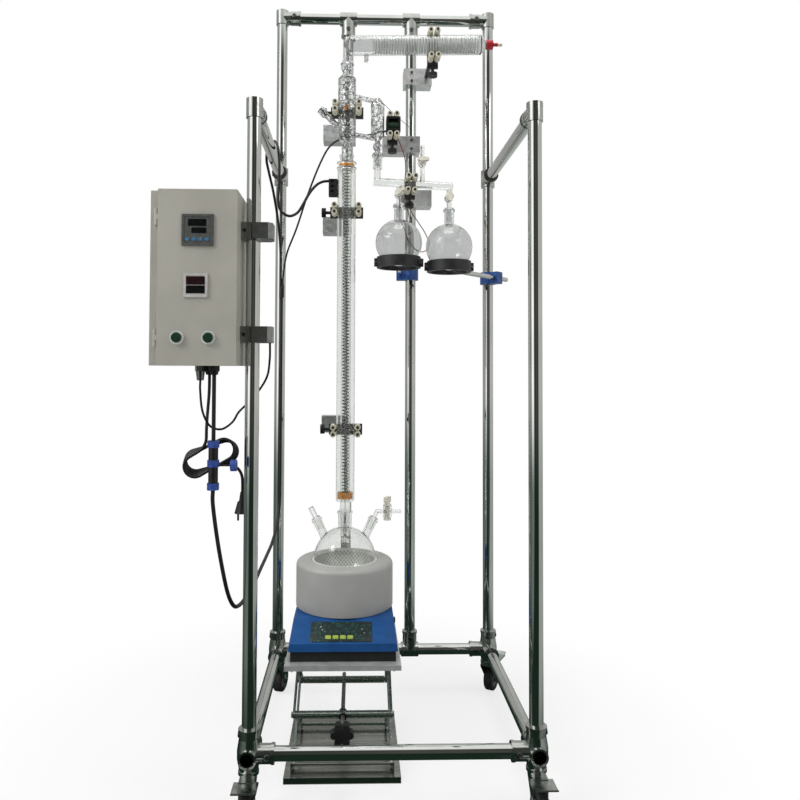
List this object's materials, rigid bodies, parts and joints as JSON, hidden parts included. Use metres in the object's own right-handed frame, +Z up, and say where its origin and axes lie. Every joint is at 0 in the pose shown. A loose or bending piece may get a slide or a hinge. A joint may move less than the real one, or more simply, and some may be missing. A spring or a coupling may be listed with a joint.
{
  "type": "packed distillation column",
  "caption": "Laboratory packed glass distillation column with heating mantle, scissor jack, coil condenser, receivers and control box on a wheeled tube frame.",
  "frame": {"origin": "on the floor under the axis of the glass column, at the underside of the lab jack", "axes": "+Z up along the column, +X to the right as seen from the control box side, +Y to the rear uprights"},
  "size_m": [0.9225, 0.7905, 2.0935],
  "materials": {
    "chrome_tube": "polished",
    "cast_fitting": "polished",
    "castor_steel": "polished",
    "castor_tyre": "matt",
    "jack_plate": "brushed",
    "jack_arm": "satin",
    "screw_steel": "satin",
    "stirrer_blue": "satin",
    "mantle_grey": "satin",
    "nest_weave": "woven",
    "clear_glass": "polished",
    "packing_wire": "satin",
    "black_plastic": "matt",
    "plug_white": "smooth",
    "cap_red": "smooth",
    "ring_black": "matt",
    "boss_blue": "satin",
    "clamp_alloy": "satin",
    "jaw_dark": "satin",
    "box_paint": "textured",
    "instrument": "smooth",
    "button_green": "smooth",
    "gland_metal": "satin",
    "cable_rubber": "matt"
  },
  "bodies": {
    "rig": {"posts": "chrome_tube", "support_rods": "chrome_tube", "rails": "chrome_tube", "base_corner_fittings": "cast_fitting", "elbow_fittings": "cast_fitting", "tee_fittings": "cast_fitting", "jack_base": "jack_plate", "boiling_flask": "clear_glass", "neck_fittings": "clear_glass", "column_jacket": "clear_glass", "column_tube": "clear_glass", "column_packing": "packing_wire", "heater_terminal": "black_plastic", "still_head": "clear_glass", "condenser_shell": "clear_glass", "condenser_coil": "clear_glass", "hose_cap": "cap_red", "receiver_adapter": "clear_glass", "receiver_flasks": "clear_glass", "ring_holders": "ring_black", "bossheads": "boss_blue", "clamp_blocks": "clamp_alloy", "clamp_jaws": "jaw_dark", "clamp_knobs": "black_plastic", "solenoid": "black_plastic", "box_body": "box_paint", "box_clamps": "clamp_alloy", "cable_glands": "gland_metal", "control_leads": "cable_rubber", "power_cord": "cable_rubber", "power_cord_hank": "cable_rubber", "power_plug": "black_plastic", "inline_connector": "black_plastic"},
    "jack_arm_b": {"lower_arm_b": "jack_arm"},
    "jack_arm_a": {"lower_arm_a": "jack_arm"},
    "jack_arm_d": {"upper_arm_d": "jack_arm"},
    "jack_table": {"jack_top": "jack_plate", "stirrer_base": "stirrer_blue", "mantle_shell": "mantle_grey", "mantle_nest": "nest_weave"},
    "jack_arm_c": {"upper_arm_c": "jack_arm"},
    "jack_front_rod": {"front_trunnion": "jack_arm"},
    "jack_rear_rod": {"rear_trunnion": "jack_arm"},
    "jack_screw": {"lift_screw": "screw_steel"},
    "castor_front_left": {"caster_front_left": "castor_steel"},
    "castor_wheel_front_left": {"wheel_front_left": "castor_tyre"},
    "castor_front_right": {"caster_front_right": "castor_steel"},
    "castor_wheel_front_right": {"wheel_front_right": "castor_tyre"},
    "castor_rear_left": {"caster_rear_left": "castor_steel"},
    "castor_wheel_rear_left": {"wheel_rear_left": "castor_tyre"},
    "castor_rear_right": {"caster_rear_right": "castor_steel"},
    "castor_wheel_rear_right": {"wheel_rear_right": "castor_tyre"},
    "door": {"box_door": "box_paint", "door_instruments": "instrument"},
    "start_press_button": {"start_button": "button_green"},
    "stop_press_button": {"stop_button": "button_green"},
    "sample_cock": {"sample_plug": "plug_white"},
    "vent_cock": {"vent_plug": "plug_white"},
    "left_cock": {"left_plug": "plug_white"},
    "right_cock": {"right_plug": "plug_white"}
  },
  "joints": [
    {"name": "jack_lift", "type": "hinge", "parent": "rig", "child": "jack_arm_b", "pos_m": [0, -0.193, 0.026], "axis": [1, 0, 0], "range_deg": [-15, 0]},
    {"name": "jack_cross_a", "type": "hinge", "parent": "jack_arm_b", "child": "jack_arm_a", "pos_m": [0, -0.09262, 0.08513], "axis": [1, 0, 0], "range_deg": [0, 30]},
    {"name": "jack_elbow_d", "type": "hinge", "parent": "jack_arm_b", "child": "jack_arm_d", "pos_m": [0, 0.00776, 0.14426], "axis": [1, 0, 0], "range_deg": [0, 30]},
    {"name": "jack_level", "type": "hinge", "parent": "jack_arm_d", "child": "jack_table", "pos_m": [0, -0.193, 0.26251], "axis": [1, 0, 0], "range_deg": [-15, 0]},
    {"name": "jack_cross_c", "type": "hinge", "parent": "jack_arm_d", "child": "jack_arm_c", "pos_m": [0, -0.09262, 0.20339], "axis": [1, 0, 0], "range_deg": [-30, 0]},
    {"name": "jack_front_rod_turn", "type": "hinge", "parent": "jack_arm_a", "child": "jack_front_rod", "pos_m": [0, -0.193, 0.14426], "axis": [1, 0, 0], "range_deg": [-15, 0]},
    {"name": "jack_rear_rod_turn", "type": "hinge", "parent": "jack_arm_b", "child": "jack_rear_rod", "pos_m": [0, 0.00776, 0.14426], "axis": [1, 0, 0], "range_deg": [0, 15]},
    {"name": "jack_screw_spin", "type": "hinge", "parent": "jack_front_rod", "child": "jack_screw", "pos_m": [0, -0.193, 0.14426], "axis": [0, 1, 0], "continuous": true},
    {"name": "front_left_swivel", "type": "hinge", "parent": "rig", "child": "castor_front_left", "pos_m": [-0.205, -0.35, 0.099], "axis": [0, 0, 1], "continuous": true},
    {"name": "front_left_roll", "type": "hinge", "parent": "castor_front_left", "child": "castor_wheel_front_left", "pos_m": [-0.205, -0.378, 0.0375], "axis": [1, 0, 0], "continuous": true},
    {"name": "front_right_swivel", "type": "hinge", "parent": "rig", "child": "castor_front_right", "pos_m": [0.435, -0.35, 0.099], "axis": [0, 0, 1], "continuous": true},
    {"name": "front_right_roll", "type": "hinge", "parent": "castor_front_right", "child": "castor_wheel_front_right", "pos_m": [0.435, -0.378, 0.0375], "axis": [1, 0, 0], "continuous": true},
    {"name": "rear_left_swivel", "type": "hinge", "parent": "rig", "child": "castor_rear_left", "pos_m": [-0.205, 0.25, 0.099], "axis": [0, 0, 1], "continuous": true},
    {"name": "rear_left_roll", "type": "hinge", "parent": "castor_rear_left", "child": "castor_wheel_rear_left", "pos_m": [-0.19775, 0.27705, 0.0375], "axis": [-0.9659, 0.2588, 0], "continuous": true},
    {"name": "rear_right_swivel", "type": "hinge", "parent": "rig", "child": "castor_rear_right", "pos_m": [0.435, 0.25, 0.099], "axis": [0, 0, 1], "continuous": true},
    {"name": "rear_right_roll", "type": "hinge", "parent": "castor_rear_right", "child": "castor_wheel_rear_right", "pos_m": [0.449, 0.27425, 0.0375], "axis": [-0.866, 0.5, 0], "continuous": true},
    {"name": "door_swing", "type": "hinge", "parent": "rig", "child": "door", "pos_m": [-0.4035, -0.426, 1.18], "axis": [0, 0, -1], "range_deg": [0, 110]},
    {"name": "start_press", "type": "slide", "parent": "door", "child": "start_press_button", "axis": [0, 1, 0], "range_m": [0, 0.004], "stiffness_N_per_m": 400},
    {"name": "stop_press", "type": "slide", "parent": "door", "child": "stop_press_button", "axis": [0, 1, 0], "range_m": [0, 0.004], "stiffness_N_per_m": 400},
    {"name": "sample_turn", "type": "hinge", "parent": "rig", "child": "sample_cock", "pos_m": [0.115, 0, 0.59751], "axis": [0, 0, 1], "continuous": true},
    {"name": "vent_turn", "type": "hinge", "parent": "rig", "child": "vent_cock", "pos_m": [0.213, 0.05, 1.56951], "axis": [0, -1, 0], "continuous": true},
    {"name": "left_turn", "type": "hinge", "parent": "rig", "child": "left_cock", "pos_m": [0.147, 0.05, 1.47851], "axis": [0, -1, 0], "continuous": true},
    {"name": "right_turn", "type": "hinge", "parent": "rig", "child": "right_cock", "pos_m": [0.289, 0.05, 1.46951], "axis": [0, -1, 0], "continuous": true}
  ],
  "couplings": [
    {"joint": "jack_cross_a", "follows": "jack_lift", "ratio": -2},
    {"joint": "jack_elbow_d", "follows": "jack_lift", "ratio": -2},
    {"joint": "jack_level", "follows": "jack_lift", "ratio": 1},
    {"joint": "jack_cross_c", "follows": "jack_lift", "ratio": 2},
    {"joint": "jack_front_rod_turn", "follows": "jack_lift", "ratio": 1},
    {"joint": "jack_rear_rod_turn", "follows": "jack_lift", "ratio": -1}
  ]
}
